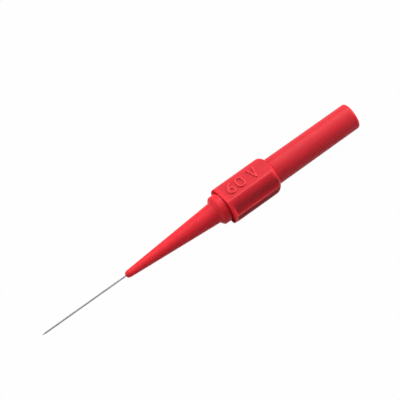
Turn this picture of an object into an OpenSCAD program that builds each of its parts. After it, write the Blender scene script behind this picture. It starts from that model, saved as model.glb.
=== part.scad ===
// Needle test probe: a soft cone with a steel needle, a fluted grip and a 4 mm socket behind it.
// The probe lies along X with the socket's mouth towards +X, and the lettered flat faces +Z.
// The origin is on the axis, where the wall of the socket's bore starts.

/* [Needle] */
// Diameter of the needle
needle_d = 0.5; // [0.4:0.05:0.8]
// Length of needle that stands out of the cone
needle_out = 30.5; // [15:0.1:45]
// Length of the ground point
needle_point = 1.6; // [0.6:0.1:4]
// Diameter of the flat left on the very tip
needle_tip_d = 0.08; // [0.04:0.01:0.2]
// Length of needle held in the holder's hole
needle_grip = 8; // [4:0.5:12]

/* [Nose cone] */
// Length of the cone, from its small end to the ring's front face
cone_l = 32.8; // [25:0.1:40]
// Diameter at the small end, behind its dome
cone_tip_d = 2.3; // [1.9:0.05:3]
// Height of the dome on the small end
dome_l = 0.9; // [0.4:0.05:1.5]
// Diameter of the flat on the dome's end
dome_flat_d = 1.5; // [1.2:0.05:1.8]
// Diameter at the large end
cone_root_d = 6.6; // [6:0.1:7.5]
// Radius of the hollow corner where the cone meets the ring
root_fillet = 0.65; // [0.1:0.05:0.8]
// Radial clearance round the needle in the hole that it comes out of
needle_gap = 0.15; // [0.1:0.05:0.2]

/* [Ring] */
// Diameter of the ring
ring_d = 9.3; // [8.8:0.1:10]
// Length of the ring
ring_l = 2.65; // [1.5:0.05:5]
// Radius on the ring's front edge
ring_round = 0.65; // [0.2:0.05:1]
// Chamfer on the ring's rear edge
ring_chamfer = 0.15; // [0.05:0.05:0.4]

/* [Grip collar] */
// Length of the collar
collar_l = 17.75; // [14:0.05:24]
// Width over the two sharp side edges
collar_w = 12.3; // [12:0.1:14]
// Height from the top flat to the bottom flat
collar_h = 9.3; // [9:0.1:10.4]
// Width of the top and bottom flats
flat_w = 7.1; // [6.4:0.1:7.8]
// Angle at which a side leaves the flat
shoulder_angle = 26; // [22:1:40]
// Angle at which the shoulder hands over to the hollow
hollow_angle = 80; // [72:1:84]
// Radius of the shoulder between flat and hollow
shoulder_r = 3.2; // [2.6:0.1:3.4]
// Depth of the hollow in each side
hollow_depth = 0.3; // [0.1:0.05:0.35]
// Length over which a hollow runs out at the front
hollow_runout = 2; // [1:0.1:4]
// Radius of the rounded rear end
rear_round = 3.4; // [2.4:0.1:4]
// Diameter of the flat face that the rounding leaves at the rear
rear_face_d = 8.7; // [8.6:0.1:9.2]

/* [Raised characters] */
// Height of a character
glyph_h = 4.2; // [2.6:0.1:4.6]
// Width of the nought and of the letter
glyph_w = 2.7; // [2:0.1:3.2]
// Diameter of the bowl of the six
six_bowl_d = 2.5; // [1.8:0.1:2.6]
// How far the stem of the six reaches across, from its left side
six_reach = 2.3; // [1.4:0.1:2.4]
// Width of a stroke
stroke_w = 0.5; // [0.3:0.05:0.7]
// How far the characters stand up from the flat
relief = 0.25; // [0.1:0.05:0.4]
// Distance from the collar's front face to the middle of the first character
first_glyph = 3.85; // [2.5:0.05:5]
// Distance between the middles of the two digits
digit_pitch = 3.5; // [3.3:0.1:4]
// Distance from the middle of the last digit to the middle of the unit's letter
unit_pitch = 4.8; // [3.8:0.1:6]
// How far the characters sit off the flat's middle line
glyph_shift = 0; // [-0.4:0.1:0.4]

/* [Rear sleeve] */
// Length of sleeve that shows behind the collar
sleeve_l = 29.8; // [27:0.1:34]
// Diameter at the rear end
sleeve_rear_d = 8.25; // [7.6:0.05:8.4]
// Diameter where the sleeve leaves the collar
sleeve_front_d = 8.45; // [8.2:0.05:8.6]
// Radius on the rear edge
sleeve_round = 0.8; // [0.2:0.05:1]
// Chamfer inside the rear mouth
mouth_chamfer = 0.25; // [0.1:0.05:0.5]
// Diameter of the necks of sleeve and cone that the collar covers
neck_d = 7.4; // [7:0.1:7.6]

/* [Socket] */
// Bore of the socket
socket_d = 4; // [3.9:0.05:4.1]
// Wall of the socket tube
socket_wall = 0.6; // [0.55:0.05:0.7]
// Depth of the bore, from the lead-in to the step that the holder's plug seats on
socket_depth = 24; // [20:0.5:26]
// Chamfer that leads a plug into the bore
lead_in = 0.4; // [0.2:0.05:0.4]
// How far the tube's mouth lies inside the sleeve's rear face
socket_recess = 1.5; // [0.5:0.1:3]

/* [Needle holder] */
// Length of the plug that is pressed into the socket tube
plug_l = 8; // [5:0.5:9]
// How far the plug stands out past the wall of the socket's bore
plug_step = 0.2; // [0.2:0.05:0.3]
// Chamfer on the plug's rear end
plug_chamfer = 0.3; // [0.1:0.1:0.5]
// Diameter of the flange between the two necks
flange_d = 6.4; // [6:0.1:6.8]
// Thickness of the flange
flange_l = 1.5; // [1:0.1:2.5]
// Diameter of the shank that the cone grips
shank_d = 3.8; // [3.2:0.1:4.2]
// Length of the shank
shank_l = 13; // [11:0.5:14]
// How far a barb stands out of the shank
barb_rise = 0.25; // [0.1:0.05:0.35]
// Distance from the flange to the first barb
barb_lead = 1.9; // [1:0.1:3]
// Length of one barb
barb_l = 1.6; // [1:0.1:2]
// Distance from one barb to the next
barb_pitch = 2.4; // [2.2:0.1:3]
// Number of barbs
barb_count = 4; // [2:1:4]
// Diameter of the rod that carries the needle
rod_d = 2.2; // [1.8:0.05:2.4]
// Length of the rod
rod_l = 19; // [14:0.5:21]
// Width of the countersink that holds the solder
cup_d = 1.7; // [1.3:0.05:1.7]
// Depth of the countersink
cup_l = 0.8; // [0.4:0.1:1.5]
// How far the solder stands out of the countersink
solder_rise = 0.7; // [0.3:0.1:1.5]
// Thickness of the solder where it ends on the needle
solder_wall = 0.1; // [0.05:0.05:0.2]

/* [Clearances] */
// Radial clearance between the mouldings, and between them and the metal
fit_gap = 0.05; // [0.02:0.01:0.1]
// Radial clearance where metal is pressed or soldered into metal
press_gap = 0.01; // [0.005:0.005:0.02]
// Gap along the axis where one piece butts against another
seat_gap = 0.05; // [0.02:0.01:0.1]
// Gap at the crease between the ring and the collar
crease_gap = 0.12; // [0.05:0.01:0.25]

/* [Hidden] */
$fn = 96;
cut = 1; // how far a cutting shape runs past the face that it cuts
glyph_root = 0.2; // how far a character's solid reaches into the collar
arc_steps = 6; // straight pieces that stand for one arc

pvc_red = [0.86, 0.14, 0.16];
pvc_red_light = [0.94, 0.2, 0.22];
steel = [0.6, 0.61, 0.62];
solder_grey = [0.72, 0.73, 0.75];
brass = [0.78, 0.62, 0.3];
nickel = [0.8, 0.79, 0.75];

// Stations along the axis, from the socket's mouth to the point of the needle
tube_mouth_x = lead_in;
rear_face_x = tube_mouth_x + socket_recess;
step_x = -socket_depth;
plug_rear_x = step_x - seat_gap;
tube_front_x = plug_rear_x - plug_l;
flange_rear_x = tube_front_x - seat_gap;
flange_front_x = flange_rear_x - flange_l;
shank_front_x = flange_front_x - shank_l;
rod_front_x = shank_front_x - rod_l;
collar_rear_x = rear_face_x - sleeve_l;
collar_front_x = collar_rear_x - collar_l;
ring_rear_x = collar_front_x - crease_gap;
ring_front_x = ring_rear_x - ring_l;
cone_tip_x = ring_front_x - cone_l;
needle_tip_x = cone_tip_x - needle_out;
needle_rear_x = rod_front_x + needle_grip;
barb_first_x = flange_front_x - barb_lead;

// Radii that more than one piece uses
needle_r = needle_d / 2;
rod_r = rod_d / 2;
shank_r = shank_d / 2;
barb_r = shank_r + barb_rise;
bore_r = socket_d / 2;
plug_r = bore_r + plug_step;
neck_r = neck_d / 2;
tube_r = bore_r + socket_wall;
rear_end_r = rear_face_d / 2;

// Turns a profile of [radius, x] points about the X axis
module turned() {
  rotate([0, 90, 0]) rotate_extrude() children();
}

// Draws a hole along X, from x0 to x1
module hole_x(r, x0, x1) {
  translate([x0, 0, 0]) rotate([0, 90, 0]) cylinder(r = r, h = x1 - x0);
}

// Points of an arc about a centre, from one angle to another
function arc(c, r, from, to) =
  [for (i = [0:arc_steps]) let (a = from + (to - from) * i / arc_steps) c + r * [cos(a), sin(a)]];

// The needle is one ground wire, from the holder's hole to the point
module needle() {
  color(steel) turned() polygon([
    [0, needle_rear_x],
    [needle_r, needle_rear_x],
    [needle_r, needle_tip_x + needle_point],
    [needle_tip_d / 2, needle_tip_x],
    [0, needle_tip_x],
  ]);
}

// Solder fills the countersink and climbs the needle in a hollow curve
module needle_solder() {
  inner_r = needle_r + press_gap;
  thin_r = inner_r + solder_wall;
  face_r = cup_d / 2 - press_gap;
  color(solder_grey) turned() polygon(concat(
    [
      [inner_r, rod_front_x + cup_l - seat_gap],
      [inner_r + press_gap, rod_front_x + cup_l - seat_gap],
    ],
    [for (a = [0:15:90]) [
      thin_r + (face_r - thin_r) * (1 - sin(a)),
      rod_front_x - solder_rise * (1 - cos(a))]],
    [[inner_r, rod_front_x - solder_rise]]
  ));
}

// Brass core: plug, flange, barbed shank and the rod that carries the needle
module needle_holder() {
  color(brass) difference() {
    union() {
      turned() polygon([
        [0, plug_rear_x],
        [plug_r - plug_chamfer, plug_rear_x],
        [plug_r, plug_rear_x - plug_chamfer],
        [plug_r, flange_rear_x],
        [flange_d / 2, flange_rear_x],
        [flange_d / 2, flange_front_x],
        [shank_r, flange_front_x],
        [shank_r, shank_front_x],
        [rod_r, shank_front_x],
        [rod_r, rod_front_x],
        [0, rod_front_x],
      ]);
      for (i = [0:barb_count - 1]) holder_barb(barb_first_x - i * barb_pitch);
    }
    hole_x(needle_r + press_gap, rod_front_x - cut, needle_rear_x + seat_gap);
    turned() polygon([
      [0, rod_front_x + cup_l],
      [needle_r + press_gap, rod_front_x + cup_l],
      [cup_d / 2, rod_front_x],
      [cup_d / 2, rod_front_x - cut],
      [0, rod_front_x - cut],
    ]);
  }
}

// One barb, with its steep face towards the socket and its slope towards the needle
module holder_barb(x) {
  turned() polygon([
    [shank_r - barb_rise, x],
    [barb_r, x],
    [shank_r, x - barb_l],
    [shank_r - barb_rise, x - barb_l],
  ]);
}

// Socket tube: the 4 mm bore that a test lead's plug goes into
module socket_tube() {
  color(nickel) difference() {
    hole_x(tube_r, tube_front_x, tube_mouth_x);
    hole_x(bore_r, step_x - cut, tube_mouth_x + cut);
    hole_x(plug_r + press_gap, tube_front_x - cut, step_x);
    turned() polygon([
      [0, 0],
      [bore_r, 0],
      [bore_r + lead_in, tube_mouth_x],
      [bore_r + lead_in, tube_mouth_x + cut],
      [0, tube_mouth_x + cut],
    ]);
  }
}

// Outline of the cone, its ring and the neck behind it
module cone_outline() {
  slope = atan2((cone_root_d - cone_tip_d) / 2, cone_l - dome_l);
  root_r = cone_root_d / 2;
  ring_r = ring_d / 2;
  fillet = min(root_fillet, (ring_r - root_r) / 2);
  round = min(ring_round, (ring_r - root_r) / 2);
  polygon(concat(
    [[0, cone_tip_x], [dome_flat_d / 2, cone_tip_x]],
    [for (a = [20:20:80]) [
      dome_flat_d / 2 + (cone_tip_d - dome_flat_d) / 2 * sin(a),
      cone_tip_x + dome_l * (1 - cos(a))]],
    [[cone_tip_d / 2, cone_tip_x + dome_l]],
    arc([root_r + fillet * (1 - sin(slope)) / cos(slope), ring_front_x - fillet],
      fillet, 180 - slope, 90),
    arc([ring_r - round, ring_front_x + round], round, 270, 360),
    [
      [ring_r, ring_rear_x - ring_chamfer],
      [ring_r - ring_chamfer, ring_rear_x],
      [neck_r, ring_rear_x],
      [neck_r, flange_front_x - seat_gap],
      [0, flange_front_x - seat_gap],
    ]
  ));
}

// Soft cone with the ring at its wide end, hollow for the holder and the needle
module nose_cone() {
  color(pvc_red_light) difference() {
    turned() cone_outline();
    hole_x(needle_r + needle_gap, cone_tip_x - cut, rod_front_x);
    hole_x(rod_r + fit_gap, rod_front_x - solder_rise - seat_gap, shank_front_x);
    hole_x(barb_r + fit_gap, shank_front_x - seat_gap, flange_front_x);
  }
}

// Corner where a side's shoulder ends and its hollow starts, in the section's first quarter
function hollow_start() =
  [flat_w / 2, collar_h / 2] + shoulder_r * [
    sin(hollow_angle) - sin(shoulder_angle),
    cos(hollow_angle) - cos(shoulder_angle)];

// First quarter of the collar's section, from the top flat round to the sharp side edge
function quarter_section() = concat(
  arc([flat_w / 2, collar_h / 2] - shoulder_r * [sin(shoulder_angle), cos(shoulder_angle)],
    shoulder_r, 90 - shoulder_angle, 90 - hollow_angle),
  [[collar_w / 2, 0]]);

// Section of the collar: two flats and four shouldered sides that meet in a sharp edge
module collar_section() {
  quarter = quarter_section();
  last = len(quarter) - 1;
  polygon(concat(
    quarter,
    [for (i = [last - 1:-1:0]) [quarter[i].x, -quarter[i].y]],
    [for (i = [0:last]) [-quarter[i].x, -quarter[i].y]],
    [for (i = [last - 1:-1:0]) [-quarter[i].x, quarter[i].y]]
  ));
}

// Cutter for one hollow: a round groove along X that runs out at the collar's front face
module side_hollow() {
  start = hollow_start();
  edge = [collar_w / 2, 0];
  chord = norm(edge - start);
  out = [start.y, edge.x - start.x] / chord;
  groove_r = (pow(chord / 2, 2) + pow(hollow_depth, 2)) / (2 * hollow_depth);
  runout_r = (pow(hollow_runout, 2) + pow(hollow_depth, 2)) / (2 * hollow_depth);
  runout_angle = asin(hollow_runout / runout_r);
  centre = (start + edge) / 2 + out * (groove_r - hollow_depth);
  straight_x = collar_front_x + hollow_runout;
  translate([0, centre.x, centre.y]) turned() polygon(concat(
    [[0, collar_rear_x + cut], [groove_r, collar_rear_x + cut]],
    arc([groove_r - runout_r, straight_x], runout_r, 0, -runout_angle),
    [[0, collar_front_x]]
  ));
}

// Turned shape that rounds the collar's rear end
module collar_blank() {
  w = collar_w / 2;
  round_r = w - rear_round;
  round_l = sqrt(pow(rear_round, 2) - pow(rear_end_r - round_r, 2));
  turned() polygon(concat(
    [[0, collar_front_x], [w, collar_front_x]],
    arc([round_r, collar_rear_x - round_l], rear_round, 0, atan2(round_l, rear_end_r - round_r)),
    [[0, collar_rear_x]]
  ));
}

// Digit nought: a ring with straight sides
module glyph_nought() {
  r = glyph_w / 2;
  dy = glyph_h / 2 - r;
  difference() {
    track(r, dy);
    track(r - stroke_w, dy);
  }
}

// Two half rounds with straight sides between them
module track(r, dy) {
  for (s = [-1, 1]) translate([0, s * dy]) circle(r = r);
  translate([-r, -dy]) square([2 * r, 2 * dy]);
}

// Digit six: a round bowl and a stem that bends over to the top
module glyph_six() {
  bowl_r = six_bowl_d / 2;
  stem_r = glyph_h - bowl_r;
  translate([0, bowl_r - glyph_h / 2]) {
    difference() {
      circle(r = bowl_r);
      circle(r = bowl_r - stroke_w);
    }
    intersection() {
      translate([stem_r - bowl_r, 0]) difference() {
        circle(r = stem_r);
        circle(r = stem_r - stroke_w);
      }
      translate([-bowl_r, 0]) square([six_reach, stem_r]);
    }
  }
}

// Letter V: two slanted bars that meet at the foot
module glyph_vee() {
  w = glyph_w / 2;
  h = glyph_h / 2;
  foot = stroke_w / 2;
  run = (w - foot) / glyph_h;
  bar = stroke_w * sqrt(1 + run * run);
  polygon([
    [-w, h], [-foot, -h], [foot, -h], [w, h],
    [w - bar, h], [0, h - (w - bar) / run], [bar - w, h],
  ]);
}

// Sinks a character into the flat, so that only its relief stands out
module raised(x) {
  translate([x, glyph_shift, collar_h / 2 - glyph_root])
    linear_extrude(glyph_root + relief) children();
}

// Grip collar: covers the joint of cone and sleeve, and carries the characters
module grip_collar() {
  digit_x = collar_front_x + first_glyph;
  color(pvc_red) difference() {
    union() {
      difference() {
        intersection() {
          translate([collar_front_x, 0, 0]) rotate([90, 0, 90])
            linear_extrude(collar_l) collar_section();
          collar_blank();
        }
        for (side = [0, 1]) for (half = [0, 1])
          mirror([0, side, 0]) mirror([0, 0, half]) side_hollow();
      }
      raised(digit_x) glyph_six();
      raised(digit_x + digit_pitch) glyph_nought();
      raised(digit_x + digit_pitch + unit_pitch) glyph_vee();
    }
    hole_x(neck_r + fit_gap, collar_front_x - cut, collar_rear_x + cut);
  }
}

// Outline of the sleeve and of the neck that runs into the collar
module sleeve_outline() {
  rear_r = sleeve_rear_d / 2;
  shoulder_x = collar_rear_x + seat_gap;
  neck_front_x = flange_rear_x + seat_gap;
  polygon(concat(
    [[0, neck_front_x], [neck_r, neck_front_x], [neck_r, shoulder_x], [sleeve_front_d / 2, shoulder_x]],
    arc([rear_r - sleeve_round, rear_face_x - sleeve_round], sleeve_round, 0, 90),
    [[0, rear_face_x]]
  ));
}

// Rear sleeve: insulates the socket tube and leaves its mouth open
module rear_sleeve() {
  mouth_r = tube_r + fit_gap;
  color(pvc_red) difference() {
    turned() sleeve_outline();
    hole_x(mouth_r, tube_front_x - cut, rear_face_x + cut);
    turned() polygon([
      [0, rear_face_x - mouth_chamfer],
      [mouth_r, rear_face_x - mouth_chamfer],
      [mouth_r + mouth_chamfer, rear_face_x],
      [mouth_r + mouth_chamfer, rear_face_x + cut],
      [0, rear_face_x + cut],
    ]);
  }
}

needle();
needle_solder();
needle_holder();
socket_tube();
nose_cone();
grip_collar();
rear_sleeve();
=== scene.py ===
import math

import bmesh
import bpy
import numpy as np
from mathutils import Matrix, Vector


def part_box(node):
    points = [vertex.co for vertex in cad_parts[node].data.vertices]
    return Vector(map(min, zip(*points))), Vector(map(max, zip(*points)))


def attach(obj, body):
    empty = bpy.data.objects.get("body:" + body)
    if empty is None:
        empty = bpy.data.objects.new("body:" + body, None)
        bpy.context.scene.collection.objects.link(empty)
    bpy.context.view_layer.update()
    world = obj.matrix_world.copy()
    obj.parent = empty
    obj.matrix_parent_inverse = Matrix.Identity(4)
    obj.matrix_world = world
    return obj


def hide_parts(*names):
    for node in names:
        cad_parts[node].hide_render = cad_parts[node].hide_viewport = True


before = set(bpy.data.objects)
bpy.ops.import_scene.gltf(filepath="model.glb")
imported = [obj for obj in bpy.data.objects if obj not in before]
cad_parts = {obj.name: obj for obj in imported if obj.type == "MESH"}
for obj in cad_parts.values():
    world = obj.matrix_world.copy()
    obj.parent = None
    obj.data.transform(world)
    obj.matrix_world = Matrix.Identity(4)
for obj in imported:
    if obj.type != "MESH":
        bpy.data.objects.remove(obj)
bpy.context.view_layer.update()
mm = 0.001
print("frame loaded:", ", ".join(sorted(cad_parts)))

# Where the solids lie along the probe, read off the frame
needleLow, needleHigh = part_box("needle")
coneLow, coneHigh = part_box("nose_cone")
collarLow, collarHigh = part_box("grip_collar")
sleeveLow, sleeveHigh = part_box("rear_sleeve")
tubeLow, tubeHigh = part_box("socket_tube")
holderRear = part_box("needle_holder")[1].x
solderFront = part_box("needle_solder")[0].x
needleRadius = (needleHigh.y - needleLow.y) / 2
flatHeight = -collarLow.z  # the bottom flat is bare, so it gives the height of both flats


# Small helpers for node trees

def put(tree, kind, inputs=None, **settings):
    made = tree.nodes.new(kind)
    for label, value in settings.items():
        setattr(made, label, value)
    for label, value in (inputs or {}).items():
        if isinstance(value, bpy.types.NodeSocket):
            tree.links.new(value, made.inputs[label])
        else:
            made.inputs[label].default_value = value
    return made


def work(tree, operation, *values):
    return put(tree, "ShaderNodeMath", dict(enumerate(values)), operation=operation).outputs[0]


def vectorWork(tree, operation, *values, give="Vector"):
    return put(tree, "ShaderNodeVectorMath", dict(enumerate(values)), operation=operation).outputs[give]


def readAxis(tree, place, axis):
    return put(tree, "ShaderNodeSeparateXYZ", {0: place}).outputs[axis]


def startTree(name, sockets):
    tree = bpy.data.node_groups.new(name, "GeometryNodeTree")
    tree.interface.new_socket("Geometry", in_out="INPUT", socket_type="NodeSocketGeometry")
    for label, kind in sockets.items():
        tree.interface.new_socket(label, in_out="INPUT", socket_type="NodeSocket" + kind)
    tree.interface.new_socket("Geometry", in_out="OUTPUT", socket_type="NodeSocketGeometry")
    return tree, put(tree, "NodeGroupInput").outputs


def endTree(tree, geometry, material):
    real = put(tree, "GeometryNodeRealizeInstances", {"Geometry": geometry})
    painted = put(tree, "GeometryNodeSetMaterial", {"Geometry": real.outputs[0], "Material": material})
    put(tree, "NodeGroupOutput", {"Geometry": painted.outputs[0]})


def bakeTree(name, tree, values, base=None):
    piece = bpy.data.objects.new(name, base or bpy.data.meshes.new(name))
    bpy.context.scene.collection.objects.link(piece)
    modifier = piece.modifiers.new(name, "NODES")
    modifier.node_group = tree
    for item in tree.interface.items_tree:
        if item.in_out == "INPUT" and item.name in values:
            modifier[item.identifier] = values[item.name]
    depsgraph = bpy.context.evaluated_depsgraph_get()
    baked = bpy.data.meshes.new_from_object(piece.evaluated_get(depsgraph), depsgraph=depsgraph)
    piece.modifiers.remove(modifier)
    piece.data = baked
    baked.name = name
    return piece


# Small helpers for meshes and pieces

def metres(shape):  # the pieces' dictionaries are in millimetres
    return {key: value * mm for key, value in shape.items()}


def closeMesh(piece, sharpAngle, mergeWithin=0.0005 * mm):
    build = bmesh.new()
    build.from_mesh(piece.data)
    bmesh.ops.remove_doubles(build, verts=build.verts, dist=mergeWithin)
    bmesh.ops.recalc_face_normals(build, faces=build.faces)
    for face in build.faces:
        face.smooth = True
    build.to_mesh(piece.data)
    build.free()
    piece.data.set_sharp_from_angle(angle=math.radians(sharpAngle))


def seat(piece, node):
    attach(piece, "root")
    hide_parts(node)
    triangles = sum(len(face.vertices) - 2 for face in piece.data.polygons)
    print(piece.name, "stands for", node, "with", triangles, "triangles")


# Turned pieces: a tree that draws a profile from its corners, rounds them and turns it about X

turning = {"pathRadius": 10 * mm, "sharpAngle": 40}  # the circle that the profile is swept along


def turnedTree(name, corners):
    sockets = {"Around Steps": "Int", "Round Steps": "Int", "Material": "Material"}
    for number in range(corners):
        sockets |= {f"{word} {number}": "Float" for word in ("Station", "Radius", "Round")}
    tree, sizes = startTree(name, sockets)
    place = put(tree, "GeometryNodeIndexSwitch", data_type="VECTOR")
    rounding = put(tree, "GeometryNodeIndexSwitch", data_type="FLOAT")
    for number in range(corners):
        if number > 1:
            place.index_switch_items.new()
            rounding.index_switch_items.new()
        back = work(tree, "MULTIPLY", sizes[f"Station {number}"], -1.0)
        out = work(tree, "SUBTRACT", sizes[f"Radius {number}"], turning["pathRadius"])
        point = put(tree, "ShaderNodeCombineXYZ", {"X": out, "Y": back})
        tree.links.new(point.outputs[0], place.inputs[number + 1])
        tree.links.new(sizes[f"Round {number}"], rounding.inputs[number + 1])
    index = put(tree, "GeometryNodeInputIndex").outputs[0]
    tree.links.new(index, place.inputs["Index"])
    tree.links.new(index, rounding.inputs["Index"])
    line = put(tree, "GeometryNodeMeshLine", {"Count": corners})
    laid = put(tree, "GeometryNodeSetPosition", {
        "Geometry": line.outputs[0], "Position": place.outputs[0]})
    path = put(tree, "GeometryNodeMeshToCurve", {"Mesh": laid.outputs[0]})
    closed = put(tree, "GeometryNodeSetSplineCyclic", {"Geometry": path.outputs[0], "Cyclic": True})
    profile = put(tree, "GeometryNodeFilletCurve", {
        "Curve": closed.outputs[0], "Count": sizes["Round Steps"],
        "Radius": rounding.outputs[0], "Limit Radius": True}, mode="POLY")
    circle = put(tree, "GeometryNodeCurvePrimitiveCircle", {
        "Resolution": sizes["Around Steps"], "Radius": turning["pathRadius"]})
    swept = put(tree, "GeometryNodeCurveToMesh", {
        "Curve": circle.outputs[0], "Profile Curve": profile.outputs[0]})
    turned = put(tree, "GeometryNodeTransform", {
        "Geometry": swept.outputs[0], "Rotation": (0, math.pi / 2, 0)})
    endTree(tree, turned.outputs[0], sizes["Material"])
    return tree


def turnPiece(name, corners, material, shape):
    values = {
        "Around Steps": shape["aroundSteps"], "Round Steps": shape["roundSteps"], "Material": material}
    for number, (station, radius, rounding) in enumerate(corners):
        values[f"Station {number}"] = station
        values[f"Radius {number}"] = radius
        values[f"Round {number}"] = rounding
    piece = bakeTree(name, turnedTree(name + "Turned", len(corners)), values)
    closeMesh(piece, turning["sharpAngle"])
    return piece


# What the finishes share

def startMaterial(name):
    material = bpy.data.materials.new(name)
    material.use_nodes = True
    shader = material.node_tree.nodes["Principled BSDF"]
    place = put(material.node_tree, "ShaderNodeTexCoord").outputs["Object"]
    return material, material.node_tree, shader, place


def noise(tree, place, size, detail=2.0, stretch=(1, 1, 1)):
    scaled = put(tree, "ShaderNodeMapping", {"Vector": place, "Scale": stretch})
    return put(tree, "ShaderNodeTexNoise", {
        "Vector": scaled.outputs[0], "Scale": 1 / size, "Detail": detail}).outputs["Fac"]


# What lies between fromLow and fromHigh comes out between low and high, and never beyond them. A noise
# lies mostly between 0.3 and 0.7.
def spread(tree, value, low, high, fromLow=0.3, fromHigh=0.7, ramp="LINEAR"):
    return put(tree, "ShaderNodeMapRange", {
        "Value": value, "From Min": fromLow, "From Max": fromHigh, "To Min": low, "To Max": high},
        interpolation_type=ramp).outputs[0]


def blend(tree, share, below, above):
    below, above = (
        part if isinstance(part, bpy.types.NodeSocket) else (*part, 1) for part in (below, above))
    return put(tree, "ShaderNodeMix", {"Factor": share, 6: below, 7: above}, data_type="RGBA").outputs[2]


def toned(colour, factor, paler=0.0):
    return tuple(part * factor + paler for part in colour)


def bump(tree, height, depth, normal=None):
    inputs = {"Height": height, "Distance": depth, "Strength": 1.0}
    if normal is not None:
        inputs["Normal"] = normal
    return put(tree, "ShaderNodeBump", inputs).outputs[0]


# Soft vinyl: cone, grip and sleeve, each with its own red and its own glow through the thin parts

vinyl = {
    "coneRed": (0.89, 0.030, 0.047), "coneGlow": 0.4, "tipGlowPaintedRed": (1.0, 0.036, 0.052),
    "gripRed": (0.7, 0.024, 0.037), "gripGlow": 0.1,
    "sleeveRed": (0.74, 0.031, 0.045), "sleeveGlow": 0.3,
    "shade": 0.93, "mottleSize": 4.5 * mm, "streakSize": 1.6 * mm, "streakStretch": 0.12,
    "toneFrom": 0.75, "toneTo": 1.25, "tipFrom": 1.0 * mm, "tipTo": 24.0 * mm,
    "handlingSize": 1.1 * mm, "roughLow": 0.38, "roughHigh": 0.5, "gloss": 0.12,
    "peelSize": 0.9 * mm, "peelDepth": 0.006 * mm, "grainSize": 0.3 * mm, "grainDepth": 0.003 * mm,
    "seamHalf": 0.07 * mm, "seamDepth": 0.02 * mm,
    "glowRadius": (1.0, 0.2, 0.15), "glowReach": 1.2 * mm, "ior": 1.5,
}

# Wear and painted light on the grip: edges and character tops paler, partly rubbed and partly a painted
# highlight; painted shade at the characters' foot, in the hollows, on the lower half and on the face in
# the crease; and a painted lit strip along the front rim
wearAndPaintedLight = {
    "edgeFrom": 0.1 * mm, "edgeTo": 0.38 * mm, "edgeLighter": 1.18, "edgePaler": 0.03,
    "patchSize": 0.8 * mm, "patchLeast": 0.45,
    "topFrom": 0.1 * mm, "topTo": 0.28 * mm, "topShare": 0.9,
    "footFrom": 0.02 * mm, "footTo": 0.08 * mm, "footEnd": 0.22 * mm, "footDarker": 0.4,
    "hollowShadeFrom": 2.2 * mm, "hollowShadeTo": 3.2 * mm, "hollowShadeSize": 2.5 * mm,
    "hollowShadeLeast": 0.65, "hollowShadeDarker": 0.7,
    "underFrom": 0.15 * mm, "underTo": 0.6 * mm, "underDarker": 0.65,
    "rimFrom": 0.7 * mm, "rimTo": 1.9 * mm, "rimPaintedLighter": 1.2,
    "creaseFrom": 0.02 * mm, "creaseTo": 0.12 * mm, "creaseDarker": 0.8,
    "creaseIn": 4.7 * mm, "creaseOut": 5.3 * mm,
}


def aboveFlat(tree, height, low, high, begins, ends):
    return spread(tree, height, low, high, flatHeight + wearAndPaintedLight[begins], flatHeight + wearAndPaintedLight[ends])


def edgeWearAndHighlight(tree, place, height, edges):
    # Edges and character tops go paler: partly wear, partly a painted highlight
    folded = vectorWork(tree, "ABSOLUTE", place)
    across = vectorWork(tree, "MULTIPLY", folded, (0, 1, 1))
    gaps = [vectorWork(tree, "DISTANCE", across, (0, *edge), give="Value") for edge in edges]
    rubbedAndHighlit = spread(tree, work(tree, "MINIMUM", *gaps), 1.0, 0.0, wearAndPaintedLight["edgeFrom"], wearAndPaintedLight["edgeTo"])
    patches = spread(tree, noise(tree, place, wearAndPaintedLight["patchSize"], detail=3.0), wearAndPaintedLight["patchLeast"], 1.0)
    tops = aboveFlat(tree, height, 0.0, wearAndPaintedLight["topShare"], "topFrom", "topTo")
    return work(tree, "MAXIMUM", work(tree, "MULTIPLY", rubbedAndHighlit, patches), tops)


def markFootShade(tree, height):
    # Painted shade at the foot of the raised characters
    rise = aboveFlat(tree, height, 0.0, 1.0, "footFrom", "footTo")
    fall = aboveFlat(tree, height, 1.0, 0.0, "footTo", "footEnd")
    return work(tree, "MULTIPLY", rise, fall)


def hollowShadeShare(tree, place, height):
    # Painted shade in the hollows along the side edges, broken up by a noise
    away = work(tree, "ABSOLUTE", height)
    hollow = spread(tree, away, 1.0, 0.0, wearAndPaintedLight["hollowShadeFrom"], wearAndPaintedLight["hollowShadeTo"])
    patches = spread(tree, noise(tree, place, wearAndPaintedLight["hollowShadeSize"], detail=3.0), wearAndPaintedLight["hollowShadeLeast"], 1.0)
    return work(tree, "MULTIPLY", hollow, patches)


def frontShare(tree, station, begins, ends):
    return spread(tree, station, 1.0, 0.0, collarLow.x + wearAndPaintedLight[begins], collarLow.x + wearAndPaintedLight[ends])


def creaseShadeShare(tree, place, station):
    # Painted shade on the collar's front face, down in the crease by the ring
    across = vectorWork(tree, "MULTIPLY", place, (0, 1, 1))
    reach = vectorWork(tree, "LENGTH", across, give="Value")
    deep = spread(tree, reach, 1.0, 0.0, wearAndPaintedLight["creaseIn"], wearAndPaintedLight["creaseOut"])
    return work(tree, "MULTIPLY", frontShare(tree, station, "creaseFrom", "creaseTo"), deep)


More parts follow.
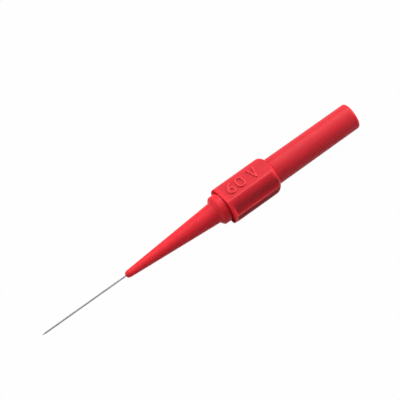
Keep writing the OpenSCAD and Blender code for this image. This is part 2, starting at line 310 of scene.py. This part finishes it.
# The grip's colour: edge wear, with painted light and shade laid over it
def wornAndPaintedFace(tree, place, station, height, face, red, edges):
    # Painted shade: the lower half is darker
    under = spread(tree, height, 1.0, 0.0, -wearAndPaintedLight["underTo"], -wearAndPaintedLight["underFrom"])
    # Painted light: the strip along the front rim is lighter
    rim = frontShare(tree, station, "rimFrom", "rimTo")
    face = blend(tree, hollowShadeShare(tree, place, height), face, toned(red, wearAndPaintedLight["hollowShadeDarker"]))
    face = blend(tree, under, face, toned(red, wearAndPaintedLight["underDarker"]))
    face = blend(tree, rim, face, toned(red, wearAndPaintedLight["rimPaintedLighter"]))
    face = blend(tree, creaseShadeShare(tree, place, station), face, toned(red, wearAndPaintedLight["creaseDarker"]))
    face = blend(tree, markFootShade(tree, height), face, toned(red, wearAndPaintedLight["footDarker"]))
    rubbedAndHighlit = toned(red, wearAndPaintedLight["edgeLighter"], wearAndPaintedLight["edgePaler"])
    return blend(tree, edgeWearAndHighlight(tree, place, height, edges), face, rubbedAndHighlit)


def vinylMaterial(name, red, glow, tipGlowPaintedRed=None, edges=None):
    material, tree, shader, place = startMaterial(name)
    station = readAxis(tree, place, "X")
    height = readAxis(tree, place, "Z")
    mottle = noise(tree, place, vinyl["mottleSize"], detail=3.0)
    streak = noise(tree, place, vinyl["streakSize"], stretch=(vinyl["streakStretch"], 1, 1))
    tone = spread(tree, work(tree, "ADD", mottle, streak), 0.0, 1.0, vinyl["toneFrom"], vinyl["toneTo"])
    face = blend(tree, tone, toned(red, vinyl["shade"]), red)
    if tipGlowPaintedRed:
        # Painted glow: the cone goes lighter towards its point, standing in for light through the thin
        # vinyl
        thin = spread(tree, station, 1.0, 0.0, coneLow.x + vinyl["tipFrom"], coneLow.x + vinyl["tipTo"])
        face = blend(tree, thin, face, tipGlowPaintedRed)
    shader.inputs["Specular IOR Level"].default_value = vinyl["gloss"]
    if edges:
        face = wornAndPaintedFace(tree, place, station, height, face, red, edges)
        # The crease's painted shade also takes the gloss away there
        shadedCrease = frontShare(tree, station, "creaseFrom", "creaseTo")  # no gloss in the crease
        gloss = work(tree, "MULTIPLY_ADD", shadedCrease, -vinyl["gloss"], vinyl["gloss"])
        tree.links.new(gloss, shader.inputs["Specular IOR Level"])
    tree.links.new(face, shader.inputs["Base Color"])
    handling = noise(tree, place, vinyl["handlingSize"], detail=4.0)
    rough = spread(tree, handling, vinyl["roughLow"], vinyl["roughHigh"])
    tree.links.new(rough, shader.inputs["Roughness"])
    peel = bump(tree, noise(tree, place, vinyl["peelSize"], detail=1.0), vinyl["peelDepth"])
    grain = bump(tree, noise(tree, place, vinyl["grainSize"]), vinyl["grainDepth"], peel)
    away = work(tree, "ABSOLUTE", height)
    parting = spread(tree, away, 1.0, 0.0, 0.0, vinyl["seamHalf"], "SMOOTHSTEP")
    seam = bump(tree, parting, vinyl["seamDepth"], grain)
    tree.links.new(seam, shader.inputs["Normal"])
    shader.inputs["Subsurface Weight"].default_value = glow
    shader.inputs["Subsurface Radius"].default_value = vinyl["glowRadius"]
    shader.inputs["Subsurface Scale"].default_value = vinyl["glowReach"]
    shader.inputs["IOR"].default_value = vinyl["ior"]
    return material


# Metals: drawn and ground steel, turned brass, nickel plate and solder

metals = {
    "drawnSize": 0.05 * mm, "drawnStretch": 0.01, "lineSize": 0.06 * mm, "lineDepth": 0.0012 * mm,
    "groundStretch": 0.02, "pointFrom": 1.4 * mm, "pointTo": 1.9 * mm,
    "steelDark": (0.13, 0.132, 0.138), "steelPale": (0.2, 0.203, 0.21), "steelRough": (0.3, 0.42),
    "turnedStretch": 0.03, "stainSize": 2.2 * mm, "stainDarker": 0.82,
    "nickel": (0.72, 0.69, 0.62), "nickelRough": (0.22, 0.36),
    "brass": (0.75, 0.54, 0.24), "brassRough": (0.25, 0.4),
    "solder": (0.62, 0.63, 0.65), "solderRough": (0.25, 0.5),
    "lumpSize": 0.35 * mm, "lumpDepth": 0.02 * mm,
}


def finishMetal(tree, shader, marks, rough, depth):
    tree.links.new(spread(tree, marks, *rough), shader.inputs["Roughness"])
    tree.links.new(bump(tree, marks, depth), shader.inputs["Normal"])
    shader.inputs["Metallic"].default_value = 1.0


def needleSteel():
    material, tree, shader, place = startMaterial("groundSteel")
    drawn = noise(tree, place, metals["drawnSize"], stretch=(metals["drawnStretch"], 1, 1))
    across = metals["groundStretch"]
    ground = noise(tree, place, metals["lineSize"], stretch=(1, across, across))
    station = readAxis(tree, place, "X")
    front = needleLow.x
    point = spread(tree, station, 1.0, 0.0, front + metals["pointFrom"], front + metals["pointTo"])
    lines = put(tree, "ShaderNodeMix", {
        "Factor": point, 2: drawn, 3: ground}, data_type="FLOAT").outputs[0]
    tone = blend(tree, spread(tree, lines, 0.0, 1.0), metals["steelDark"], metals["steelPale"])
    tree.links.new(tone, shader.inputs["Base Color"])
    finishMetal(tree, shader, lines, metals["steelRough"], metals["lineDepth"])
    return material


def turnedMetal(name, colour, rough):
    material, tree, shader, place = startMaterial(name)
    across = metals["turnedStretch"]
    rings = noise(tree, place, metals["lineSize"], detail=3.0, stretch=(1, across, across))
    stain = spread(tree, noise(tree, place, metals["stainSize"], detail=3.0), 0.0, 1.0)
    tone = blend(tree, stain, toned(colour, metals["stainDarker"]), colour)
    tree.links.new(tone, shader.inputs["Base Color"])
    finishMetal(tree, shader, rings, rough, metals["lineDepth"])
    return material


def solderMaterial():
    material, tree, shader, place = startMaterial("brightSolder")
    lumps = noise(tree, place, metals["lumpSize"], detail=3.0)
    shader.inputs["Base Color"].default_value = (*metals["solder"], 1)
    finishMetal(tree, shader, lumps, metals["solderRough"], metals["lumpDepth"])
    return material


coneVinyl = vinylMaterial("coneVinyl", vinyl["coneRed"], vinyl["coneGlow"], tipGlowPaintedRed=vinyl["tipGlowPaintedRed"])
sleeveVinyl = vinylMaterial("sleeveVinyl", vinyl["sleeveRed"], vinyl["sleeveGlow"])
groundSteel = needleSteel()
nickelPlate = turnedMetal("nickelPlate", metals["nickel"], metals["nickelRough"])
coreBrass = turnedMetal("coreBrass", metals["brass"], metals["brassRough"])
brightSolder = solderMaterial()
print("finishes made")


# The needle: drawn wire with a ground point

needleShape = {
    "pointLength": 1.6, "tipRadius": 0.04, "tipRound": 0.02, "shoulderRound": 1.2, "rearRound": 0.06,
    "aroundSteps": 32, "roundSteps": 6,
}


def needlePiece():
    s = metres(needleShape)
    corners = [
        (needleHigh.x, 0.0, 0.0),
        (needleHigh.x, needleRadius, s["rearRound"]),
        (needleLow.x + s["pointLength"], needleRadius, s["shoulderRound"]),
        (needleLow.x, s["tipRadius"], s["tipRound"]),
        (needleLow.x, 0.0, 0.0),
    ]
    seat(turnPiece("needleWire", corners, groundSteel, needleShape), "needle")


needlePiece()


# The nose cone: taper, dome, ring and the neck that the collar covers

noseShape = {
    "lipGap": 0.01, "lipLength": 0.8, "lipRound": 0.03, "domeFlat": 1.3, "domeFlatRound": 0.25,
    "kneeAlong": 0.315, "kneeRadius": 0.966, "kneeRound": 0.5, "domeLength": 0.9, "tipDiameter": 2.3,
    "tipRound": 0.6, "rootDiameter": 6.6, "rootFillet": 0.6,
    "ringLength": 2.65, "ringFoot": 0.6, "ringEdge": 0.4, "ringDraft": 0.1, "ringRound": 0.5,
    "ringRearRound": 0.2, "crease": 0.12, "neckDiameter": 7.4, "neckFootRound": 0.05,
    "shankBore": 4.4, "shankReach": 22.55, "rodBore": 2.3, "solderGap": 0.05, "boreRound": 0.1,
    "holeDiameter": 0.8, "holeRound": 0.05, "aroundSteps": 128, "roundSteps": 7,
}


def nosePiece():
    s = metres(noseShape)
    ringRadius = (coneHigh.y - coneLow.y) / 2
    ringRear = collarLow.x - s["crease"]
    ringFront = ringRear - s["ringLength"]
    tip = coneLow.x
    rodFront = solderFront - s["solderGap"]
    shankFront = holderRear - s["shankReach"]
    corners = [
        (tip, needleRadius + s["lipGap"], s["lipRound"]),
        (tip, s["domeFlat"] / 2, s["domeFlatRound"]),
        (tip + s["kneeAlong"], s["kneeRadius"], s["kneeRound"]),
        (tip + s["domeLength"], s["tipDiameter"] / 2, s["tipRound"]),
        (ringFront - s["ringFoot"], s["rootDiameter"] / 2, s["rootFillet"]),
        (ringFront + s["ringEdge"], ringRadius - s["ringDraft"], s["ringRound"]),
        (ringRear, ringRadius, s["ringRearRound"]),
        (ringRear, s["neckDiameter"] / 2, s["neckFootRound"]),
        (coneHigh.x, s["neckDiameter"] / 2, s["boreRound"]),
        (coneHigh.x, s["shankBore"] / 2, s["boreRound"]),
        (shankFront, s["shankBore"] / 2, s["boreRound"]),
        (shankFront, s["rodBore"] / 2, s["boreRound"]),
        (rodFront, s["rodBore"] / 2, s["boreRound"]),
        (rodFront, s["holeDiameter"] / 2, s["holeRound"]),
        (tip + s["lipLength"], s["holeDiameter"] / 2, s["holeRound"]),
    ]
    seat(turnPiece("noseCone", corners, coneVinyl, noseShape), "nose_cone")


nosePiece()


# The rear sleeve: a drafted tube with a rounded end, and its neck inside the collar

sleeveShape = {
    "rearDiameter": 8.25, "frontDiameter": 8.45, "rearRound": 0.85, "mouthRound": 0.25,
    "shoulderGap": 0.05, "shoulderRound": 0.1, "neckDiameter": 7.4, "neckFootRound": 0.05,
    "boreDiameter": 5.3, "boreRound": 0.1, "aroundSteps": 128, "roundSteps": 8,
}


def sleevePiece():
    s = metres(sleeveShape)
    shoulder = collarHigh.x + s["shoulderGap"]
    corners = [
        (sleeveHigh.x, s["boreDiameter"] / 2, s["mouthRound"]),
        (sleeveHigh.x, s["rearDiameter"] / 2, s["rearRound"]),
        (shoulder, s["frontDiameter"] / 2, s["shoulderRound"]),
        (shoulder, s["neckDiameter"] / 2, s["neckFootRound"]),
        (sleeveLow.x, s["neckDiameter"] / 2, s["boreRound"]),
        (sleeveLow.x, s["boreDiameter"] / 2, s["boreRound"]),
    ]
    seat(turnPiece("rearSleeve", corners, sleeveVinyl, sleeveShape), "rear_sleeve")


sleevePiece()


# The socket tube, seen down the sleeve's mouth

tubeShape = {
    "bore": 4.0, "leadIn": 0.4, "seatBore": 4.42, "boreDepth": 24.0, "edgeRound": 0.06,
    "aroundSteps": 96, "roundSteps": 3,
}


def tubePiece():
    s = metres(tubeShape)
    outer = (tubeHigh.y - tubeLow.y) / 2
    mouth = tubeHigh.x
    seatStep = mouth - s["leadIn"] - s["boreDepth"]
    corners = [
        (mouth, s["bore"] / 2 + s["leadIn"], s["edgeRound"]),
        (mouth, outer, s["edgeRound"]),
        (tubeLow.x, outer, s["edgeRound"]),
        (tubeLow.x, s["seatBore"] / 2, s["edgeRound"]),
        (seatStep, s["seatBore"] / 2, 0.0),
        (seatStep, s["bore"] / 2, 0.0),
        (mouth - s["leadIn"], s["bore"] / 2, s["edgeRound"]),
    ]
    seat(turnPiece("socketTube", corners, nickelPlate, tubeShape), "socket_tube")


tubePiece()


# The grip collar: a lofted shell with shouldered, hollow sides, a rounded rear end and raised marks.
# The mould leaves a fine flash line along each side edge, with a small nub at its front end.

collarShape = {
    "flatWidth": 6.6, "lowerFlatWidth": 7.2, "shoulderAngle": 26, "hollowAngle": 80,
    "shoulderRadius": 3.2, "shoulderLength": 1.7, "hollowLength": 3.6, "hollowDepth": 0.34,
    "rearRound": 3.4, "rearFace": 8.7, "rearReach": 1.5, "rearSoftness": 0.16,
    "bore": 7.5, "edgeRound": 0.16, "edgeSteps": 5, "softness": 0.15, "sharpAngle": 50,
    "rimRise": 1.0, "rimFrom": 0.2, "rimTo": 1.45, "flashRise": 0.12, "flashHalf": 0.07,
    "nubRise": 0.12, "nubAt": 0.55, "nubHalf": 0.35, "flatBand": 0.02,
    "sample": 0.04, "topStep": 2, "sideStep": 3, "bottomStep": 6, "stationStep": 0.085,
}

# The two edges that go pale, partly worn and partly a painted highlight, in |y| and |z|
ridge = (collarShape["flatWidth"] / 2 * mm, flatHeight)
sideEdge = (collarHigh.y, 0.0)
gripVinyl = vinylMaterial("gripVinyl", vinyl["gripRed"], vinyl["gripGlow"], edges=(ridge, sideEdge))


# A quarter of the section, in millimetres: half a flat, the shoulder's arc, then the hollow to the side
# edge. With rim at 1 the whole side is one plain arc, as it is at the collar's front end.
def quarterSection(halfFlat, depth, rim):
    s = collarShape
    halfHeight = flatHeight / mm
    first, last = math.radians(s["shoulderAngle"]), math.radians(s["hollowAngle"])
    flatCount, shoulderCount, hollowCount = (
        int(length / s["sample"]) for length in (halfFlat, s["shoulderLength"], s["hollowLength"]))

    def onShoulder(angle):
        return np.stack([
            halfFlat + s["shoulderRadius"] * (np.sin(angle) - math.sin(first)),
            halfHeight + s["shoulderRadius"] * (np.cos(angle) - math.cos(first))], -1)

    flat = np.stack([np.linspace(0, halfFlat, flatCount, False), np.full(flatCount, halfHeight)], 1)
    shoulder = onShoulder(np.linspace(first, last, shoulderCount, False))
    start = onShoulder(last)
    along = np.array([collarHigh.y / mm, 0.0]) - start
    inward = np.array([along[1], -along[0]]) / np.linalg.norm(along)
    t = np.linspace(0, 1, hollowCount + 1)[:, None]
    hollow = start + along * t + inward * depth * 4 * t * (1 - t)
    side = np.concatenate([shoulder, hollow])
    reach = np.linalg.norm(side, axis=1)[:, None]
    t = np.linspace(0, 1, len(side))[:, None]
    plainArc = reach[0] + (reach[-1] - reach[0]) * t
    return np.concatenate([flat, side * (1 + rim * (plainArc / reach - 1))])


def sectionLoop(depth, rim=0.0, nub=0.0):
    s = collarShape
    halfFlat = s["flatWidth"] / 2
    upper = quarterSection(halfFlat, depth, rim)
    lower = quarterSection(s["lowerFlatWidth"] / 2, depth, rim)[::-1] * [1, -1]
    right = np.concatenate([upper, lower[1:]])
    left = right[-2:0:-1] * [-1, 1]
    loop = np.concatenate([right, left])
    # A bell of weights along the loop softens its edges
    reach = s["softness"] / s["sample"]
    steps = np.arange(-int(3 * reach), int(3 * reach) + 1)
    weights = np.exp(-0.5 * (steps / reach) ** 2)
    weights /= weights.sum()
    soft = sum(weight * np.roll(loop, step, axis=0) for step, weight in zip(steps, weights))
    flash = s["flashRise"] * np.exp(-(soft[:, 1] / s["flashHalf"]) ** 2)
    flash += nub * np.exp(-(soft[:, 1] / s["nubHalf"]) ** 2)
    soft[:, 0] += np.sign(soft[:, 0]) * flash * (np.abs(soft[:, 0]) > halfFlat)
    return soft


# The points that stay: close together on the lettered flat, sparse on the bare one
def keptPoints(loop):
    s = collarShape
    nearFlat = flatHeight / mm - s["flatBand"]
    kept, last = [], -s["bottomStep"]
    for index, height in enumerate(loop[:, 1]):
        step = s["sideStep"]
        if abs(height) > nearFlat:
            step = s["topStep"] if height > 0 else s["bottomStep"]
        if index - last >= step:
            kept.append(index)
            last = index
    return kept


def stationList(length):
    s = collarShape
    edge = s["edgeRound"] * (1 - np.cos(np.radians(np.linspace(0, 90, s["edgeSteps"] + 1))))
    middle = np.linspace(s["edgeRound"], length - s["edgeRound"], int(length / s["stationStep"]))
    return np.concatenate([edge[:-1], middle, (length - edge[:-1])[::-1]])


def outwardNormals(loop):
    ahead = np.roll(loop, -1, axis=0) - np.roll(loop, 1, axis=0)
    normal = np.stack([ahead[:, 1], -ahead[:, 0]], 1)
    normal *= np.sign((normal * loop).sum(1, keepdims=True))
    return normal / np.linalg.norm(normal, axis=1, keepdims=True)


def collarShell():
    s = collarShape
    length = (collarHigh.x - collarLow.x) / mm
    halfWidth = collarHigh.y / mm
    roundCentre = halfWidth - s["rearRound"]
    roundLength = math.sqrt(s["rearRound"] ** 2 - (s["rearFace"] / 2 - roundCentre) ** 2)
    kept = keptPoints(sectionLoop(s["hollowDepth"]))
    loops = []
    for station in stationList(length):
        inward = min(1.0, max(0.0, (station - s["rimFrom"]) / (s["rimTo"] - s["rimFrom"])))
        rim = 1 - inward * inward * (3 - 2 * inward)
        nub = s["nubRise"] * math.exp(-((station - s["nubAt"]) / s["nubHalf"]) ** 2)
        loop = sectionLoop(s["hollowDepth"] * (1 - rim), s["rimRise"] * rim, nub)[kept]
        into = station - (length - roundLength)
        if into > -s["rearReach"]:  # the rounded rear end softly limits how far the section reaches
            limit = roundCentre + math.sqrt(max(0.0, s["rearRound"] ** 2 - max(0.0, into) ** 2))
            reach = np.linalg.norm(loop, axis=1)
            soft = s["rearSoftness"] / 2
            over = np.logaddexp(0, (reach - limit) / soft) * soft
            loop = loop * ((reach - over) / reach)[:, None]
        near = min(station, length - station)
        if near < s["edgeRound"]:
            back = s["edgeRound"] - math.sqrt(s["edgeRound"] ** 2 - (s["edgeRound"] - near) ** 2)
            loop = loop - outwardNormals(loop) * back
        loops.append(np.column_stack([np.full(len(loop), station), loop]))
    return loops


def collarMesh():
    loops = collarShell()
    around = len(loops[0])
    bore = collarShape["bore"] / 2
    ends = []
    for loop in (loops[-1], loops[0]):
        angle = np.arctan2(loop[:, 2], loop[:, 1])
        ends.append(np.column_stack([loop[:, 0], bore * np.cos(angle), bore * np.sin(angle)]))
    points = np.concatenate(loops + ends) * mm + [collarLow.x, 0, 0]
    rings = len(loops) + 2
    faces = []
    for ring in range(rings):
        here, after = ring * around, (ring + 1) % rings * around
        for index in range(around):
            beside = (index + 1) % around
            faces.append((here + index, here + beside, after + beside, after + index))
    mesh = bpy.data.meshes.new("gripCollar")
    mesh.from_pydata(points.tolist(), [], faces)
    return mesh


# Raised marks: strokes that a tree lifts out of the top flat, with soft moulded edges

markShape = {
    "height": 4.2, "width": 2.9, "veeWidth": 2.7, "veeTop": 0.5, "veeFoot": 0.8,
    "stroke": 0.7, "relief": 0.36, "soft": 0.18, "flatMargin": 0.05,
    "firstMark": 3.85, "digitPitch": 3.5, "unitPitch": 4.8, "shift": 0.0,
    "bowlDiameter": 2.7, "stemReach": 2.4, "arcSteps": 24,
    "waveSize": 3.0, "waveDepth": 0.02, "seed": 3.0,
}


def arcPoints(centreX, centreY, radius, fromAngle, toAngle, steps):
    angles = np.radians(np.linspace(fromAngle, toAngle, steps + 1))
    return [
        (centreX + radius * math.cos(angle), centreY + radius * math.sin(angle)) for angle in angles]


def sixStrokes():
    m = markShape
    inset = m["stroke"] / 2
    bowl = m["bowlDiameter"] / 2
    foot = bowl - m["height"] / 2
    stem = m["height"] - bowl
    reach = math.degrees(math.acos((stem - m["stemReach"]) / (stem - inset)))
    return [arcPoints(0, foot, bowl - inset, 0, 360, 2 * m["arcSteps"]),
            arcPoints(stem - bowl, foot, stem - inset, 180, 180 - reach, m["arcSteps"])]


def noughtStrokes():
    m = markShape
    radius = m["width"] / 2 - m["stroke"] / 2
    rise = m["height"] / 2 - m["width"] / 2
    top = arcPoints(0, rise, radius, 0, 180, m["arcSteps"])
    return [top + arcPoints(0, -rise, radius, 180, 360, m["arcSteps"]) + top[:1]]


def veeStrokes():
    m = markShape
    inset = m["stroke"] / 2
    outer = m["veeWidth"] / 2 - inset
    top = m["height"] / 2 - inset * m["veeTop"]
    foot = inset * m["veeFoot"] - m["height"] / 2
    return [[(-outer, top), (0, foot), (outer, top)]]


def markPaths():
    m = markShape
    points, edges = [], []
    station = m["firstMark"]
    marks = ((sixStrokes(), m["digitPitch"]), (noughtStrokes(), m["unitPitch"]), (veeStrokes(), 0))
    for strokes, pitch in marks:
        for stroke in strokes:
            first = len(points)
            for x, y in stroke:
                points.append((collarLow.x + (station + x) * mm, (m["shift"] + y) * mm, flatHeight))
            edges += [(first + i, first + i + 1) for i in range(len(stroke) - 1)]
        station += pitch
    mesh = bpy.data.meshes.new("markPaths")
    mesh.from_pydata(points, edges, [])
    paths = bpy.data.objects.new("markPaths", mesh)
    bpy.context.scene.collection.objects.link(paths)
    return paths


def markTree():
    tree, sizes = startTree("raisedMarks", {
        "Paths": "Object", "Stroke": "Float", "Relief": "Float", "Soft": "Float", "Lift Above": "Float",
        "Wave Size": "Float", "Wave Depth": "Float", "Seed": "Float", "Material": "Material"})
    place = put(tree, "GeometryNodeInputPosition").outputs[0]
    normal = put(tree, "GeometryNodeInputNormal").outputs[0]
    # A faint waviness all over
    wave = put(tree, "ShaderNodeTexNoise", {
        "Vector": place, "W": sizes["Seed"], "Scale": work(tree, "DIVIDE", 1.0, sizes["Wave Size"]),
        "Detail": 1.0}, noise_dimensions="4D")
    depth = work(tree, "MULTIPLY", work(tree, "SUBTRACT", wave.outputs["Fac"], 0.5), sizes["Wave Depth"])
    ripple = put(tree, "ShaderNodeVectorMath", {0: normal, "Scale": depth}, operation="SCALE").outputs[0]
    # The strokes, where the surface is the top flat
    paths = put(tree, "GeometryNodeObjectInfo", {"Object": sizes["Paths"]}).outputs["Geometry"]
    near = put(tree, "GeometryNodeProximity", {
        0: paths, "Sample Position": place}, target_element="EDGES")
    half = work(tree, "MULTIPLY", sizes["Stroke"], 0.5)
    inner = work(tree, "SUBTRACT", half, sizes["Soft"])
    rise = spread(tree, near.outputs["Distance"], sizes["Relief"], 0.0, inner, half, "SMOOTHERSTEP")
    onFlat = work(tree, "GREATER_THAN", readAxis(tree, place, "Z"), sizes["Lift Above"])
    upward = put(tree, "ShaderNodeCombineXYZ", {"Z": work(tree, "MULTIPLY", rise, onFlat)}).outputs[0]
    whole = vectorWork(tree, "ADD", ripple, upward)
    lifted = put(tree, "GeometryNodeSetPosition", {"Geometry": sizes["Geometry"], "Offset": whole})
    endTree(tree, lifted.outputs[0], sizes["Material"])
    return tree


def collarPiece():
    m = metres(markShape)
    paths = markPaths()
    piece = bakeTree("gripCollar", markTree(), {
        "Paths": paths, "Stroke": m["stroke"], "Relief": m["relief"], "Soft": m["soft"],
        "Lift Above": flatHeight - m["flatMargin"], "Wave Size": m["waveSize"],
        "Wave Depth": m["waveDepth"], "Seed": markShape["seed"], "Material": gripVinyl}, collarMesh())
    bpy.data.objects.remove(paths)
    closeMesh(piece, collarShape["sharpAngle"])
    seat(piece, "grip_collar")


collarPiece()


# The CAD nodes that stay: the brass core and its solder

def dress(node, material):
    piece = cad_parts[node]
    piece.data.materials.clear()
    piece.data.materials.append(material)


dress("needle_holder", coreBrass)
dress("needle_solder", brightSolder)
print("core dressed")


# Camera, at the photograph's angle

view = {
    "tilt": 14.5, "roll": 39.5, "turn": 35.35,  # degrees
    "lens": 600.0, "sensor": 36.0,  # millimetres
    "clipNear": 0.05, "clipFar": 50,  # metres
    "pixels": 400, "pixelsPerMm": 3.427,
    # In pixels along and across the probe: the sleeve's rear end and the picture's middle
    "rearAlong": 220.4, "rearAcross": 297.6, "middleAlong": 47.44, "middleAcross": 278.84,
}


def viewAxes():
    tilt, roll, turn = (math.radians(view[key]) for key in ("tilt", "roll", "turn"))
    toCamera = Vector((
        -math.sin(tilt), -math.cos(tilt) * math.sin(roll), math.cos(tilt) * math.cos(roll)))
    along = (Vector((1, 0, 0)) - toCamera * toCamera.x).normalized()
    side = Vector((0, -math.cos(roll), -math.sin(roll)))
    right = along * math.cos(turn) + side * math.sin(turn)
    down = side * math.cos(turn) - along * math.sin(turn)
    return toCamera, along, side, right, down


def addCamera():
    toCamera, along, side, right, down = viewAxes()
    perPixel = mm / view["pixelsPerMm"]
    middle = Vector((sleeveHigh.x, 0, 0))
    middle += along * (view["middleAlong"] - view["rearAlong"]) * perPixel
    middle += side * (view["middleAcross"] - view["rearAcross"]) * perPixel
    data = bpy.data.cameras.new("camera")
    data.lens = view["lens"]
    data.sensor_width = view["sensor"]
    data.clip_start = view["clipNear"]
    data.clip_end = view["clipFar"]
    camera = bpy.data.objects.new("camera", data)
    bpy.context.scene.collection.objects.link(camera)
    distance = view["pixels"] * perPixel * view["lens"] / view["sensor"]
    turnTo = Matrix((right, -down, toCamera)).transposed()
    camera.matrix_world = Matrix.Translation(middle + toCamera * distance) @ turnTo.to_4x4()
    bpy.context.scene.camera = camera
    return middle


# Floor and light

# Each panel: degrees away from the camera, degrees round towards the needle from square above the probe
# in the picture, watts, and metres along each side
light = {
    "floorSize": 6.0, "floorGap": 0.02 * mm, "floorColour": 0.41, "backdropShare": 0.985, "tent": 0.11,
    "distance": 0.7, "keyPanel": (70, 330, 3.0, 0.3), "topPanel": (40, 315, 1.0, 0.3),
    "leftPanel": (70, 60, 1.7, 0.3), "rightPanel": (85, 280, 3.2, 0.3),
}


# The camera sees a white backdrop, also mirrored or through glass, and all other rays get the light
def backdropRays(tree):
    ray = put(tree, "ShaderNodeLightPath").outputs
    seen = work(tree, "MAXIMUM", ray["Is Camera Ray"], ray["Is Glossy Ray"])
    return work(tree, "MAXIMUM", seen, ray["Is Transmission Ray"])


def addFloor():
    half = light["floorSize"] / 2
    height = collarLow.z - light["floorGap"]
    corners = [(x * half, y * half, height) for x, y in ((-1, -1), (1, -1), (1, 1), (-1, 1))]
    data = bpy.data.meshes.new("floor")
    data.from_pydata(corners, [], [(0, 1, 2, 3)])
    floor = bpy.data.objects.new("floor", data)
    bpy.context.scene.collection.objects.link(floor)
    material = bpy.data.materials.new("paleFloor")
    material.use_nodes = True
    tree = material.node_tree
    tree.nodes.clear()
    pale = light["floorColour"]
    diffuse = put(tree, "ShaderNodeBsdfDiffuse", {"Color": (pale, pale, pale, 1)})
    white = put(tree, "ShaderNodeEmission", {"Color": (1, 1, 1, 1), "Strength": 1.0})
    share = work(tree, "MULTIPLY", backdropRays(tree), light["backdropShare"])
    mixed = put(tree, "ShaderNodeMixShader", {0: share, 1: diffuse.outputs[0], 2: white.outputs[0]})
    put(tree, "ShaderNodeOutputMaterial", {"Surface": mixed.outputs[0]})
    data.materials.append(material)


def addTent():
    world = bpy.data.worlds.new("tent")
    world.use_nodes = True
    tree = world.node_tree
    tree.nodes.clear()
    strength = put(tree, "ShaderNodeMix", {
        "Factor": backdropRays(tree), 2: light["tent"], 3: 1.0}, data_type="FLOAT")
    background = put(tree, "ShaderNodeBackground", {
        "Color": (1, 1, 1, 1), "Strength": strength.outputs[0]})
    put(tree, "ShaderNodeOutputWorld", {"Surface": background.outputs[0]})
    bpy.context.scene.world = world


def addPanel(name, target):
    away, turn, power, size = light[name]
    toCamera, along, side = viewAxes()[:3]
    away, turn = math.radians(away), math.radians(turn)
    across = -side * math.cos(turn) - along * math.sin(turn)
    direction = toCamera * math.cos(away) + across * math.sin(away)
    data = bpy.data.lights.new(name, "AREA")
    data.shape = "SQUARE"
    data.size = size
    data.energy = power
    lamp = bpy.data.objects.new(name, data)
    lamp.location = target + direction * light["distance"]
    lamp.rotation_euler = direction.to_track_quat("Z", "Y").to_euler()
    lamp.visible_camera = False
    bpy.context.scene.collection.objects.link(lamp)


middle = addCamera()
addFloor()
addTent()
for panel in ("keyPanel", "topPanel", "leftPanel", "rightPanel"):
    addPanel(panel, middle)
bpy.context.scene.view_settings.view_transform = "Standard"
print("camera, floor and light set")
